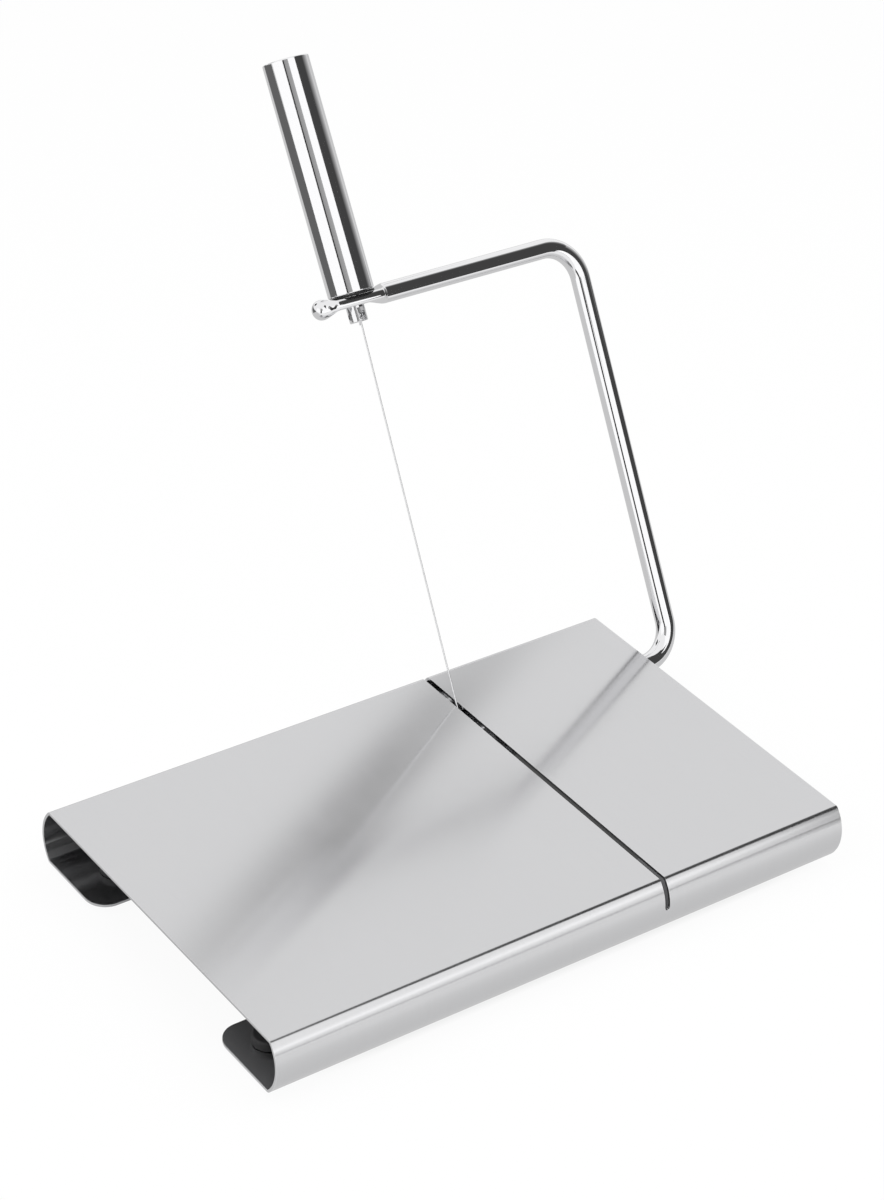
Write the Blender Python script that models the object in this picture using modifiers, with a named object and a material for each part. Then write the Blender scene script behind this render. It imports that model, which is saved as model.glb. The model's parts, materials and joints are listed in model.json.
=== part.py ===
# Wire cheese cutter: a bent sheet board with a slot, and a hinged rod bow that carries a taut cutting wire.

import math

import bmesh
import bpy
from mathutils import Matrix, Vector

# Frame: metres, +Z up, X along the board, Y from the front wall to the rear wall.
# The origin is the centre of the board's flat top face, and the bow leans back, open.

# Board: one sheet, its front and rear edges rolled down into walls that turn in to flanges
BOARD_LENGTH = 0.240
BOARD_DEPTH = 0.140
WALL_HEIGHT = 0.0217
WALL_BULGE = 0.0044
SHEET = 0.001
BEND_RADIUS = 0.002
FLANGE_DEPTH = 0.033
FLANGE_CORNER_RADIUS = 0.008

# Slot that the wire runs in
SLOT_FROM_LEFT = 0.160
SLOT_WIDTH = 0.0021
SLOT_FRONT_DROP = 0.0108
SLOT_REAR_DROP = 0.002

# Feet: rubber, each pushed through a hole in a flange
FRONT_FOOT_FROM_END = 0.013
FRONT_FOOT_FROM_EDGE = 0.020
REAR_FOOT_FROM_END = 0.017
REAR_FOOT_FROM_EDGE = 0.017
FOOT_PAD_RADIUS = 0.0075
FOOT_PAD_HEIGHT = 0.003
FOOT_HEAD_RADIUS = 0.0056
FOOT_HEAD_HEIGHT = 0.0034
FOOT_NECK_RADIUS = 0.0035
FOOT_EDGE = 0.0006

# Bow: one round rod, with its axle leg under the board and its eye above the slot
ROD_RADIUS = 0.0037
AXLE_FROM_REAR = 0.0248
AXLE_DROP_SHARE = 0.415
AXLE_TAIL = 0.004
BOW_OVERHANG = 0.0195
BOW_FRONT_REACH = 0.0427
BOW_LEAN = math.radians(59.24)
LOWER_BEND = 0.0135
UPPER_BEND = 0.0143
EYE_FLAT_LENGTH = 0.019
EYE_WIDTH = 0.0126
EYE_THICKNESS = 0.0036
EYE_BLEND_TIP = 0.0045
EYE_BLEND_LEG = 0.0024
ROD_DOME = 0.0034
HANDLE_TILT = math.radians(2.9)

# Brackets under the board: a web against the sheet and two bored ears each
BRACKET_LENGTH = 0.016
BRACKET_SHEET = 0.0015
BRACKET_WEB_DEPTH = 0.030
BRACKET_EAR_MARGIN = 0.003
BRACKET_FROM_END = 0.030
BRACKET_FROM_SLOT = 0.016

# Small steel on the axle
RING_RADIUS = 0.0065
RING_THICKNESS = 0.001
STOP_PIN_RADIUS = 0.00125
STOP_PIN_REACH = 0.010
STOP_PIN_FROM_BRACKET = 0.006
WIRE_HOLE_RADIUS = 0.0008

# Handle: a tube on a threaded insert, closed by a plug, on a thin washer
HANDLE_RADIUS = 0.0086
HANDLE_LENGTH = 0.0865
HANDLE_WALL = 0.0012
HANDLE_EDGE = 0.0005
INSERT_LENGTH = 0.014
PLUG_LENGTH = 0.004
WASHER_THICKNESS = 0.0005
WASHER_INSET = 0.0004

# Tension stud: its slotted lower end carries the pin that the wire hooks round
STUD_RADIUS = 0.0034
STUD_BELOW_EYE = 0.0059
STUD_ABOVE_EYE = 0.0122
STUD_EDGE = 0.0004
STUD_SLOT_WIDTH = 0.0026
STUD_SLOT_DEPTH = 0.0052
WIRE_PIN_RADIUS = 0.0007
WIRE_PIN_FROM_END = 0.0024
WIRE_PIN_INSET = 0.0003

# Wire and the sleeve crimped on its lower end
WIRE_RADIUS = 0.0003
WIRE_TAIL = 0.0016
FERRULE_RADIUS = 0.0012
FERRULE_LENGTH = 0.0025

# Clearances
SEAT_GAP = 0.0003
CUT_OVERRUN = 0.002

# Facets of round shapes
ROUND_STEPS = 48
SMALL_STEPS = 24
TINY_STEPS = 16
HOOK_STEPS = 10
BEND_STEPS = 8
WALL_STEPS = 20
BLEND_STEPS = 5
DOME_STEPS = 6
ROD_RESOLUTION = 10
WIRE_RESOLUTION = 2
SHARP_ANGLE = math.radians(35)
WELD_DISTANCE = 0.00001

# Places worked out from the sizes above
front_y = -BOARD_DEPTH / 2
rear_y = BOARD_DEPTH / 2
left_x = -BOARD_LENGTH / 2
right_x = BOARD_LENGTH / 2
slot_x = left_x + SLOT_FROM_LEFT
axle_drop = WALL_HEIGHT * AXLE_DROP_SHARE
axle_centre = Vector((slot_x, rear_y - AXLE_FROM_REAR, -axle_drop))
leg_x = right_x + BOW_OVERHANG
bow_arm = BOARD_DEPTH - AXLE_FROM_REAR + WALL_BULGE + BOW_FRONT_REACH
lean_direction = Vector((0, math.cos(BOW_LEAN), math.sin(BOW_LEAN)))
handle_lean = BOW_LEAN - HANDLE_TILT
eye_centre = axle_centre + lean_direction * bow_arm
handle_floor = EYE_THICKNESS / 2 + SEAT_GAP + WASHER_THICKNESS + SEAT_GAP
stud_low = -EYE_THICKNESS / 2 - STUD_BELOW_EYE
bracket_right_x = right_x - BRACKET_FROM_END - BRACKET_LENGTH / 2
bracket_left_x = slot_x - BRACKET_FROM_SLOT - BRACKET_LENGTH / 2
ring_offset = BRACKET_LENGTH / 2 + SEAT_GAP
axle_end_x = bracket_left_x - ring_offset - RING_THICKNESS - AXLE_TAIL
flange_top = -WALL_HEIGHT + SHEET


def clear_scene():
    for item in list(bpy.data.objects):
        bpy.data.objects.remove(item, do_unlink=True)


def make_collection(name):
    collection = bpy.data.collections.new(name)
    bpy.context.scene.collection.children.link(collection)
    return collection


def make_material(name, colour, roughness, metallic):
    material = bpy.data.materials.new(name)
    material.use_nodes = True
    shader = material.node_tree.nodes["Principled BSDF"]
    shader.inputs["Base Color"].default_value = (*colour, 1)
    shader.inputs["Roughness"].default_value = roughness
    shader.inputs["Metallic"].default_value = metallic
    material.diffuse_color = (*colour, 1)
    return material


clear_scene()
parts = make_collection("wire_cheese_cutter")
cutters = make_collection("cutters")

satin_steel = make_material("satin_steel", (0.62, 0.62, 0.63), 0.32, 1)
chromed_rod = make_material("chromed_rod", (0.78, 0.78, 0.79), 0.06, 1)
chromed_tube = make_material("chromed_tube", (0.80, 0.80, 0.81), 0.07, 1)
plug_steel = make_material("plug_steel", (0.74, 0.74, 0.75), 0.12, 1)
insert_steel = make_material("insert_steel", (0.55, 0.55, 0.56), 0.30, 1)
stud_steel = make_material("stud_steel", (0.66, 0.66, 0.68), 0.18, 1)
pin_steel = make_material("pin_steel", (0.58, 0.58, 0.60), 0.25, 1)
ring_steel = make_material("ring_steel", (0.42, 0.43, 0.46), 0.35, 1)
bracket_steel = make_material("bracket_steel", (0.52, 0.52, 0.54), 0.40, 1)
wire_steel = make_material("wire_steel", (0.70, 0.70, 0.71), 0.20, 1)
ferrule_steel = make_material("ferrule_steel", (0.50, 0.50, 0.52), 0.35, 1)
washer_plastic = make_material("washer_plastic", (0.015, 0.015, 0.016), 0.45, 0)
foot_rubber = make_material("foot_rubber", (0.02, 0.02, 0.021), 0.75, 0)


def place(item, collection, material=None, parent=None):
    collection.objects.link(item)
    if material is not None:
        item.data.materials.clear()
        item.data.materials.append(material)
    if parent is not None:
        item.parent = parent
    return item


def shade_round(item):
    item.data.shade_smooth()
    item.data.set_sharp_from_angle(angle=SHARP_ANGLE)


def mesh_object(name, shape):
    """Makes an object of a finished bmesh."""
    bmesh.ops.recalc_face_normals(shape, faces=shape.faces)
    mesh = bpy.data.meshes.new(name)
    shape.to_mesh(mesh)
    shape.free()
    return bpy.data.objects.new(name, mesh)


def box(name, low, high):
    shape = bmesh.new()
    size = Vector(high) - Vector(low)
    middle = (Vector(high) + Vector(low)) / 2
    bmesh.ops.create_cube(shape, size=1, matrix=Matrix.Translation(middle) @ Matrix.Diagonal((*size, 1)))
    return mesh_object(name, shape)


def rod_between(name, start, end, radius, steps=SMALL_STEPS):
    """Plain cylinder from one point to another."""
    start = Vector(start)
    end = Vector(end)
    along = end - start
    turn = along.to_track_quat("Z", "Y").to_matrix().to_4x4()
    shape = bmesh.new()
    bmesh.ops.create_cone(shape, cap_ends=True, cap_tris=False, segments=steps, radius1=radius, radius2=radius,
                          depth=along.length, matrix=Matrix.Translation((start + end) / 2) @ turn)
    return mesh_object(name, shape)


def turned(name, profile, closed=False, steps=ROUND_STEPS):
    """Profile of (radius, height) points, down the outer side, turned about local Z with a Screw modifier."""
    mesh = bpy.data.meshes.new(name)
    edges = [(index, index + 1) for index in range(len(profile) - 1)]
    if closed:
        edges.append((len(profile) - 1, 0))
    mesh.from_pydata([(radius, 0, height) for radius, height in profile], edges, [])
    item = bpy.data.objects.new(name, mesh)
    screw = item.modifiers.new("turn", "SCREW")
    screw.axis = "Z"
    screw.steps = steps
    screw.render_steps = steps
    screw.use_merge_vertices = True
    screw.merge_threshold = WELD_DISTANCE
    screw.use_smooth_shade = False
    return item


def as_mesh(item, collection, material=None):
    """Replaces a curve or a modified object by its evaluated mesh, with its place kept."""
    bpy.context.view_layer.update()
    graph = bpy.context.evaluated_depsgraph_get()
    mesh = bpy.data.meshes.new_from_object(item.evaluated_get(graph))
    welded = bmesh.new()
    welded.from_mesh(mesh)
    bmesh.ops.remove_doubles(welded, verts=welded.verts, dist=WELD_DISTANCE)
    welded.to_mesh(mesh)
    welded.free()
    name = item.name
    parent = item.parent
    matrix = item.matrix_world.copy()
    bpy.data.objects.remove(item, do_unlink=True)
    fresh = bpy.data.objects.new(name, mesh)
    place(fresh, collection, material, parent)
    fresh.matrix_world = matrix
    return fresh


def outline_curve(name, points, half_depth, fill=True):
    """Flat outline in local XY, extruded both ways along local Z."""
    curve = bpy.data.curves.new(name, "CURVE")
    curve.dimensions = "2D"
    curve.fill_mode = "BOTH" if fill else "NONE"
    curve.extrude = half_depth
    spline = curve.splines.new("POLY")
    spline.points.add(len(points) - 1)
    for point, (across, up) in zip(spline.points, points):
        point.co = (across, up, 0, 1)
    spline.use_cyclic_u = fill
    return bpy.data.objects.new(name, curve)


def stand_across(item, x):
    """Turns local X to +Y, local Y to +Z and local Z to +X, at the given X."""
    item.rotation_euler = (math.radians(90), 0, math.radians(90))
    item.location = (x, 0, 0)


def rod_curve(name, points, radius, resolution, radii=None):
    """Round bar along a list of points."""
    curve = bpy.data.curves.new(name, "CURVE")
    curve.dimensions = "3D"
    curve.bevel_depth = radius
    curve.bevel_resolution = resolution
    curve.use_fill_caps = True
    spline = curve.splines.new("POLY")
    spline.points.add(len(points) - 1)
    for index, (point, place_at) in enumerate(zip(spline.points, points)):
        point.co = (*place_at, 1)
        point.radius = radii[index] if radii else 1
    return bpy.data.objects.new(name, curve)


def cut(item, cutter, operation="DIFFERENCE"):
    if cutter.name not in cutters.objects:
        cutters.objects.link(cutter)
    cutter.hide_render = True
    cutter.display_type = "WIRE"
    step = item.modifiers.new(cutter.name, "BOOLEAN")
    step.operation = operation
    step.solver = "EXACT"
    step.object = cutter
    return step


def arc(centre, radius, first, last, steps):
    """Points on a circle, angles in radians from local X."""
    points = []
    for index in range(steps + 1):
        angle = first + (last - first) * index / steps
        points.append((centre[0] + radius * math.cos(angle), centre[1] + radius * math.sin(angle)))
    return points


# Board sheet
def front_section():
    """Outer line of the front half from the top face down to the flange's free edge, as (y, z)."""
    half = WALL_HEIGHT / 2
    wall_radius = (half ** 2 + WALL_BULGE ** 2) / (2 * WALL_BULGE)
    wall_centre = (front_y - WALL_BULGE + wall_radius, -half)
    reach = wall_radius - BEND_RADIUS
    drop = half - BEND_RADIUS
    bend_y = wall_centre[0] - math.sqrt(reach ** 2 - drop ** 2)
    turn = math.asin(drop / reach)
    upper = arc((bend_y, -BEND_RADIUS), BEND_RADIUS, math.radians(90), math.pi - turn, BEND_STEPS)
    wall = arc(wall_centre, wall_radius, math.pi - turn, math.pi + turn, WALL_STEPS)
    lower = arc((bend_y, -WALL_HEIGHT + BEND_RADIUS), BEND_RADIUS, math.pi + turn, math.radians(270), BEND_STEPS)
    return upper + wall[1:] + lower[1:] + [(front_y + FLANGE_DEPTH, -WALL_HEIGHT)]


def corner_cutter(name, x_side, y_side):
    """Everything outside the round free corner of a flange."""
    end_x = left_x if x_side < 0 else right_x
    free_y = front_y + FLANGE_DEPTH if y_side < 0 else rear_y - FLANGE_DEPTH
    radius = FLANGE_CORNER_RADIUS
    points = [(-CUT_OVERRUN, radius)]
    for across, inward in arc((radius, radius), radius, math.pi, math.radians(270), BEND_STEPS):
        points.append((across, inward))
    points.append((radius, -CUT_OVERRUN))
    points.append((-CUT_OVERRUN, -CUT_OVERRUN))
    placed = [(end_x - x_side * across, free_y + y_side * inward) for across, inward in points]
    item = outline_curve(name, placed, SHEET / 2 + CUT_OVERRUN)
    item.location = (0, 0, -WALL_HEIGHT + SHEET / 2)
    cutters.objects.link(item)
    return as_mesh(item, cutters)


def slot_cutter():
    """Upright blade with half-round ends in the front wall and over the rear bend."""
    half = SLOT_WIDTH / 2
    reach = BOARD_DEPTH / 2 + WALL_BULGE + CUT_OVERRUN
    front = box("slot_front", (slot_x - half, -reach, -SLOT_FRONT_DROP + half), (slot_x + half, 0, CUT_OVERRUN))
    front_end = rod_between("slot_front_end", (slot_x, -reach, -SLOT_FRONT_DROP + half),
                            (slot_x, front_y + WALL_BULGE, -SLOT_FRONT_DROP + half), half)
    rear = box("slot_rear", (slot_x - half, 0, -SLOT_REAR_DROP), (slot_x + half, reach, CUT_OVERRUN))
    return [front, front_end, rear]


def make_board():
    front = front_section()
    rear = [(-across, up) for across, up in front]
    item = outline_curve("board", rear[::-1] + front, BOARD_LENGTH / 2, fill=False)
    stand_across(item, 0)
    parts.objects.link(item)
    item = as_mesh(item, parts, satin_steel)
    wall = item.modifiers.new("sheet", "SOLIDIFY")
    wall.thickness = SHEET
    wall.offset = 1
    wall.use_even_offset = True
    for cutter in slot_cutter():
        cut(item, cutter)
    for x_side in (-1, 1):
        for y_side in (-1, 1):
            cut(item, corner_cutter(f"flange_corner_{x_side}_{y_side}", x_side, y_side))
            foot = foot_place(x_side, y_side)
            hole = rod_between(f"foot_hole_{x_side}_{y_side}", (*foot, -WALL_HEIGHT - CUT_OVERRUN),
                               (*foot, flange_top + CUT_OVERRUN), FOOT_NECK_RADIUS + SEAT_GAP)
            cut(item, hole)
    return item


# Feet
def foot_place(x_side, y_side):
    from_end = FRONT_FOOT_FROM_END if y_side < 0 else REAR_FOOT_FROM_END
    from_edge = FRONT_FOOT_FROM_EDGE if y_side < 0 else REAR_FOOT_FROM_EDGE
    return x_side * (BOARD_LENGTH / 2 - from_end), y_side * (BOARD_DEPTH / 2 - from_edge)


def make_foot(name, x_side, y_side):
    head_low = flange_top + SEAT_GAP
    head_high = head_low + FOOT_HEAD_HEIGHT
    pad_high = -WALL_HEIGHT - SEAT_GAP
    pad_low = pad_high - FOOT_PAD_HEIGHT
    profile = [
        (0, head_high),
        (FOOT_HEAD_RADIUS - FOOT_EDGE, head_high),
        (FOOT_HEAD_RADIUS, head_high - FOOT_EDGE),
        (FOOT_HEAD_RADIUS, head_low),
        (FOOT_NECK_RADIUS, head_low),
        (FOOT_NECK_RADIUS, pad_high),
        (FOOT_PAD_RADIUS, pad_high),
        (FOOT_PAD_RADIUS, pad_low + FOOT_EDGE),
        (FOOT_PAD_RADIUS - FOOT_EDGE, pad_low),
        (0, pad_low),
    ]
    item = turned(name, profile, steps=SMALL_STEPS)
    item.location = (*foot_place(x_side, y_side), 0)
    return place(item, parts, foot_rubber)


# Brackets that carry the axle
def make_bracket(name, centre_x):
    ear_radius = ROD_RADIUS + SEAT_GAP + BRACKET_EAR_MARGIN
    web_high = -SHEET - SEAT_GAP
    web_low = web_high - BRACKET_SHEET
    item = box(name, (centre_x - BRACKET_LENGTH / 2, axle_centre.y - BRACKET_WEB_DEPTH / 2, web_low),
               (centre_x + BRACKET_LENGTH / 2, axle_centre.y + BRACKET_WEB_DEPTH / 2, web_high))
    place(item, parts, bracket_steel)
    rounded = arc((axle_centre.y, axle_centre.z), ear_radius, math.pi, math.radians(360), WALL_STEPS)
    ear_high = (web_high + web_low) / 2
    outline = rounded + [(axle_centre.y + ear_radius, ear_high), (axle_centre.y - ear_radius, ear_high)]
    for side in (-1, 1):
        ear = outline_curve(f"{name}_ear_{side}", outline, BRACKET_SHEET / 2)
        stand_across(ear, centre_x + side * (BRACKET_LENGTH / 2 - BRACKET_SHEET / 2))
        cutters.objects.link(ear)
        cut(item, as_mesh(ear, cutters), "UNION")
    reach = BRACKET_LENGTH / 2 + CUT_OVERRUN
    bore = rod_between(f"{name}_bore", (centre_x - reach, *axle_centre.yz), (centre_x + reach, *axle_centre.yz),
                       ROD_RADIUS + SEAT_GAP)
    cut(item, bore)
    return item


# Bow
def bow_points():
    """Centre line from the axle's free end to the tip beyond the eye, in the bow's own plane, with radius shares."""
    flat = EYE_FLAT_LENGTH / 2
    stations = [(axle_end_x - leg_x, 0)]
    stations += [(across - LOWER_BEND, up + LOWER_BEND)
                 for across, up in arc((0, 0), LOWER_BEND, math.radians(270), math.radians(360), BEND_STEPS)]
    stations += [(across - UPPER_BEND, up + bow_arm - UPPER_BEND)
                 for across, up in arc((0, 0), UPPER_BEND, 0, math.radians(90), BEND_STEPS)]
    eye_u = slot_x - leg_x
    for index in range(BLEND_STEPS + 1):
        stations.append((eye_u + flat + EYE_BLEND_LEG * (1 - index / BLEND_STEPS), bow_arm))
    for index in range(BLEND_STEPS + 1):
        stations.append((eye_u - flat - EYE_BLEND_TIP * index / BLEND_STEPS, bow_arm))
    radii = [1] * len(stations)
    dome_u = eye_u - flat - EYE_BLEND_TIP
    for index in range(1, DOME_STEPS):
        angle = math.radians(90) * index / DOME_STEPS
        stations.append((dome_u - ROD_DOME * math.sin(angle), bow_arm))
        radii.append(math.cos(angle))
    points = [Vector((leg_x + across, axle_centre.y, axle_centre.z)) + lean_direction * up
              for across, up in stations]
    return points, radii


def press_eye(item):
    """Presses the rod flat round the eye: both faces square to the handle's axis, the metal spread sideways."""
    flat = EYE_FLAT_LENGTH / 2
    press = Vector((0, math.cos(handle_lean), math.sin(handle_lean)))
    spread = press.cross(Vector((1, 0, 0)))
    for vertex in item.data.vertices:
        offset = vertex.co - eye_centre
        if offset.dot(lean_direction) < -2 * ROD_RADIUS:
            continue
        if offset.x >= 0:
            share = 1 - (offset.x - flat) / EYE_BLEND_LEG
        else:
            share = 1 - (-offset.x - flat) / EYE_BLEND_TIP
        share = min(max(share, 0), 1)
        share = share * share * (3 - 2 * share)
        limit = ROD_RADIUS + (EYE_THICKNESS / 2 - ROD_RADIUS) * share
        through = min(max(offset.dot(press), -limit), limit)
        sideways = offset.dot(spread) * (1 + (EYE_WIDTH / 2 / ROD_RADIUS - 1) * share)
        vertex.co = eye_centre + Vector((offset.x, 0, 0)) + press * through + spread * sideways


def make_bow(pivot):
    points, radii = bow_points()
    item = rod_curve("bow", points, ROD_RADIUS, ROD_RESOLUTION, radii)
    parts.objects.link(item)
    item = as_mesh(item, parts, chromed_rod)
    press_eye(item)
    press = Vector((0, math.cos(handle_lean), math.sin(handle_lean)))
    eye_reach = EYE_THICKNESS / 2 + CUT_OVERRUN
    cut(item, rod_between("eye_hole", eye_centre - press * eye_reach, eye_centre + press * eye_reach,
                          STUD_RADIUS + SEAT_GAP))
    axle_reach = ROD_RADIUS + CUT_OVERRUN
    wire = wire_direction()
    cut(item, rod_between("wire_hole", axle_centre - wire * axle_reach, axle_centre + wire * axle_reach,
                          WIRE_HOLE_RADIUS))
    pin = stop_pin_direction()
    seat = Vector((stop_pin_x(), axle_centre.y, axle_centre.z))
    cut(item, rod_between("stop_pin_hole", seat - pin * axle_reach, seat + pin * axle_reach,
                          STOP_PIN_RADIUS + SEAT_GAP))
    item.parent = pivot
    item.matrix_parent_inverse = pivot.matrix_world.inverted()
    return item


def stop_pin_x():
    return bracket_right_x - BRACKET_LENGTH / 2 - STOP_PIN_FROM_BRACKET


def stop_pin_direction():
    """Forward and up, so that the pin's upper corner just meets the underside of the sheet at rest."""
    rise = axle_drop - SHEET - SEAT_GAP
    corner = math.hypot(STOP_PIN_REACH, STOP_PIN_RADIUS)
    angle = math.asin(min(rise / corner, 1)) - math.atan2(STOP_PIN_RADIUS, STOP_PIN_REACH)
    return Vector((0, -math.cos(angle), math.sin(angle)))


def make_stop_pin(pivot):
    seat = Vector((stop_pin_x(), axle_centre.y, axle_centre.z))
    pin = stop_pin_direction()
    item = rod_between("stop_pin", seat - pin * ROD_RADIUS, seat + pin * STOP_PIN_REACH, STOP_PIN_RADIUS)
    place(item, parts, pin_steel, pivot)
    item.matrix_parent_inverse = pivot.matrix_world.inverted()
    return item


def make_ring(name, inner_x, side, pivot):
    """Push-on ring, its near face at inner_x, on the given side of the bracket."""
    bore = ROD_RADIUS + SEAT_GAP
    profile = [(bore, RING_THICKNESS / 2), (RING_RADIUS, RING_THICKNESS / 2),
               (RING_RADIUS, -RING_THICKNESS / 2), (bore, -RING_THICKNESS / 2)]
    item = turned(name, profile, closed=True, steps=SMALL_STEPS)
    place(item, parts, ring_steel, pivot)
    item.rotation_euler = (0, math.radians(90), 0)
    item.location = (inner_x + side * RING_THICKNESS / 2 - axle_centre.x, 0, 0)
    return item


# Handle group, all of it about the handle's own axis, which the empty holds
def make_tube(axis):
    inner = HANDLE_RADIUS - HANDLE_WALL
    low = handle_floor
    high = handle_floor + HANDLE_LENGTH
    profile = [
        (inner, high),
        (HANDLE_RADIUS - HANDLE_EDGE, high),
        (HANDLE_RADIUS, high - HANDLE_EDGE),
        (HANDLE_RADIUS, low + HANDLE_EDGE),
        (HANDLE_RADIUS - HANDLE_EDGE, low),
        (inner, low),
    ]
    return place(turned("handle_tube", profile, closed=True), parts, chromed_tube, axis)


def make_plug(axis):
    radius = HANDLE_RADIUS - HANDLE_WALL - SEAT_GAP
    high = handle_floor + HANDLE_LENGTH
    profile = [(0, high), (radius - HANDLE_EDGE, high), (radius, high - HANDLE_EDGE), (radius, high - PLUG_LENGTH),
               (0, high - PLUG_LENGTH)]
    return place(turned("handle_plug", profile), parts, plug_steel, axis)


def make_insert(axis):
    outer = HANDLE_RADIUS - HANDLE_WALL - SEAT_GAP
    bore = STUD_RADIUS + SEAT_GAP
    low = handle_floor
    high = low + INSERT_LENGTH
    profile = [(bore, high), (outer, high), (outer, low), (bore, low)]
    return place(turned("handle_insert", profile, closed=True), parts, insert_steel, axis)


def make_washer(axis):
    outer = HANDLE_RADIUS - WASHER_INSET
    bore = STUD_RADIUS + SEAT_GAP
    low = EYE_THICKNESS / 2 + SEAT_GAP
    profile = [(bore, low + WASHER_THICKNESS), (outer, low + WASHER_THICKNESS), (outer, low), (bore, low)]
    return place(turned("handle_washer", profile, closed=True), parts, washer_plastic, axis)


# Tension group: stud, pin, wire and ferrule
def make_stud(axis):
    high = EYE_THICKNESS / 2 + STUD_ABOVE_EYE
    profile = [(0, high), (STUD_RADIUS - STUD_EDGE, high), (STUD_RADIUS, high - STUD_EDGE),
               (STUD_RADIUS, stud_low + STUD_EDGE), (STUD_RADIUS - STUD_EDGE, stud_low), (0, stud_low)]
    item = place(turned("tension_stud", profile, steps=SMALL_STEPS), parts, stud_steel, axis)
    half = STUD_SLOT_WIDTH / 2
    reach = STUD_RADIUS + CUT_OVERRUN
    slot = box("stud_slot", (-half, -reach, stud_low - CUT_OVERRUN), (half, reach, stud_low + STUD_SLOT_DEPTH))
    slot.parent = axis
    cut(item, slot)
    height = stud_low + WIRE_PIN_FROM_END
    hole = rod_between("stud_cross_hole", (-reach, 0, height), (reach, 0, height), WIRE_PIN_RADIUS + SEAT_GAP)
    hole.parent = axis
    cut(item, hole)
    return item


def make_wire_pin(axis):
    half = STUD_RADIUS - WIRE_PIN_INSET
    height = stud_low + WIRE_PIN_FROM_END
    item = rod_between("wire_pin", (-half, 0, height), (half, 0, height), WIRE_PIN_RADIUS, steps=TINY_STEPS)
    return place(item, parts, pin_steel, axis)


def hook_radius():
    return WIRE_PIN_RADIUS + SEAT_GAP + WIRE_RADIUS


def handle_matrix():
    return Matrix.Translation(eye_centre) @ Matrix.Rotation(handle_lean - math.radians(90), 4, "X")


def hook_points():
    """Points of the hook round the pin, from the front tangent, over the pin and down behind it, in world places."""
    height = stud_low + WIRE_PIN_FROM_END
    points = []
    for index in range(HOOK_STEPS + 1):
        angle = math.pi - math.pi * index / HOOK_STEPS
        points.append(Vector((0, hook_radius() * math.cos(angle), height + hook_radius() * math.sin(angle))))
    points.append(Vector((0, hook_radius(), height - WIRE_TAIL)))
    frame = handle_matrix()
    return [frame @ point for point in points]


def wire_direction():
    """From the axle's centre up to where the wire meets the hook."""
    return (hook_points()[0] - axle_centre).normalized()


def make_wire(axis):
    low = axle_centre - wire_direction() * (ROD_RADIUS + SEAT_GAP + FERRULE_LENGTH)
    item = rod_curve("cutting_wire", [low] + hook_points(), WIRE_RADIUS, WIRE_RESOLUTION)
    parts.objects.link(item)
    item = as_mesh(item, parts, wire_steel)
    item.parent = axis
    item.matrix_parent_inverse = axis.matrix_world.inverted()
    return item


def make_ferrule(axis):
    bore = WIRE_RADIUS + SEAT_GAP
    profile = [(bore, FERRULE_LENGTH), (FERRULE_RADIUS, FERRULE_LENGTH), (FERRULE_RADIUS, 0), (bore, 0)]
    item = place(turned("wire_ferrule", profile, closed=True, steps=TINY_STEPS), parts, ferrule_steel)
    along = wire_direction()
    low = axle_centre - along * (ROD_RADIUS + SEAT_GAP + FERRULE_LENGTH)
    item.matrix_world = Matrix.Translation(low) @ along.to_track_quat("Z", "Y").to_matrix().to_4x4()
    item.parent = axis
    item.matrix_parent_inverse = axis.matrix_world.inverted()
    return item


def make_pivots():
    """Empties on the two axes: the bow's axle and the handle's own axis."""
    pivot = bpy.data.objects.new("bow_pivot", None)
    pivot.location = axle_centre
    parts.objects.link(pivot)
    axis = bpy.data.objects.new("handle_axis", None)
    axis.parent = pivot
    axis.location = eye_centre - axle_centre
    axis.rotation_euler = (handle_lean - math.radians(90), 0, 0)
    parts.objects.link(axis)
    bpy.context.view_layer.update()
    return pivot, axis


make_board()
for x_name, x_side in (("left", -1), ("right", 1)):
    for y_name, y_side in (("front", -1), ("rear", 1)):
        make_foot(f"foot_{y_name}_{x_name}", x_side, y_side)
make_bracket("axle_bracket_left", bracket_left_x)
make_bracket("axle_bracket_right", bracket_right_x)

bow_pivot, handle_axis = make_pivots()
make_bow(bow_pivot)
make_stop_pin(bow_pivot)
make_ring("axle_ring_outer", bracket_left_x - ring_offset, -1, bow_pivot)
make_ring("axle_ring_inner", bracket_left_x + ring_offset, 1, bow_pivot)
make_washer(handle_axis)
make_tube(handle_axis)
make_plug(handle_axis)
make_insert(handle_axis)
make_stud(handle_axis)
make_wire_pin(handle_axis)
make_wire(handle_axis)
make_ferrule(handle_axis)

for part in parts.objects:
    if part.type == "MESH" and len(part.data.polygons) > 0:
        shade_round(part)
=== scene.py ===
import json
import math

import bmesh
import bpy
from mathutils import Matrix, Vector

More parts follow.
